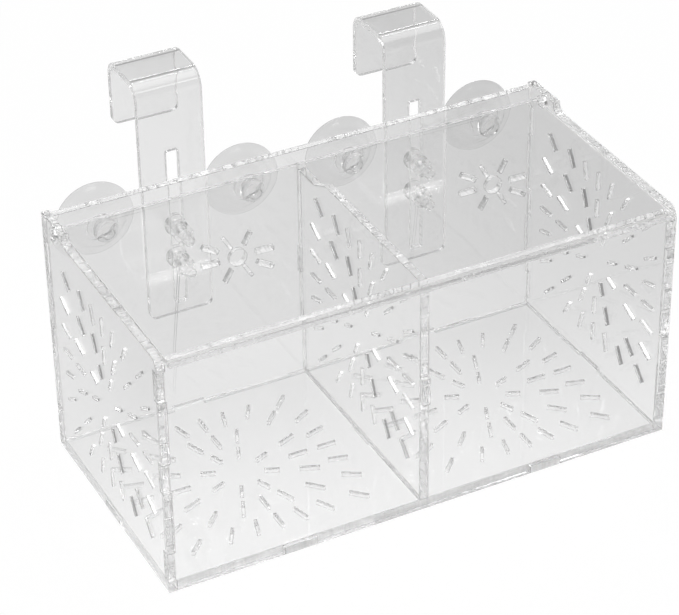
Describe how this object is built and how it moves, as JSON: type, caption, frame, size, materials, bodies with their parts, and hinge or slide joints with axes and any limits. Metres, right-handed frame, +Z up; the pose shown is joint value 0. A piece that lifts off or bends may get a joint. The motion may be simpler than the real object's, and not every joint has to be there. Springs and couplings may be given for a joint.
{
  "type": "fish breeding box",
  "caption": "Clear two-compartment box that hangs in an aquarium, with slotted walls and floor, a hinged lid, bent rim hangers and suction cups.",
  "frame": {"origin": "centre of the underside of the box", "axes": "+X to the right along the long side, +Y from the open front to the hanger side, +Z up"},
  "size_m": [0.2, 0.1272, 0.1392],
  "materials": {
    "acrylic": "clear laser-cut acrylic sheet, polished faces and frosted cut edges",
    "lid_acrylic": "clear laser-cut acrylic sheet",
    "hanger_acrylic": "clear acrylic strip, bent by heat",
    "fastener_nylon": "clear moulded plastic screw and nut",
    "cup_vinyl": "clear soft vinyl, glossy"
  },
  "bodies": {
    "box": {"base_panel": "acrylic", "front_panel": "acrylic", "back_panel": "acrylic", "left_side_panel": "acrylic", "right_side_panel": "acrylic", "divider_panel": "acrylic", "left_upper_screw": "fastener_nylon", "left_lower_screw": "fastener_nylon", "right_upper_screw": "fastener_nylon", "right_lower_screw": "fastener_nylon", "left_upper_nut": "fastener_nylon", "left_lower_nut": "fastener_nylon", "right_upper_nut": "fastener_nylon", "right_lower_nut": "fastener_nylon", "left_outer_suction_cup": "cup_vinyl", "left_inner_suction_cup": "cup_vinyl", "right_inner_suction_cup": "cup_vinyl", "right_outer_suction_cup": "cup_vinyl"},
    "lid": {"lid": "lid_acrylic"},
    "left_hanger": {"left_hanger": "hanger_acrylic"},
    "right_hanger": {"right_hanger": "hanger_acrylic"}
  },
  "joints": [
    {"name": "lid_hinge", "type": "hinge", "parent": "box", "child": "lid", "pos_m": [0, 0.039, 0.09555], "axis": [-1, 0, 0], "range_deg": [0, 98]},
    {"name": "left_hanger_slide", "type": "slide", "parent": "box", "child": "left_hanger", "axis": [0, 0, 1], "range_m": [-0.0305, 0.016]},
    {"name": "right_hanger_slide", "type": "slide", "parent": "box", "child": "right_hanger", "axis": [0, 0, 1], "range_m": [-0.0243, 0.0222]}
  ]
}
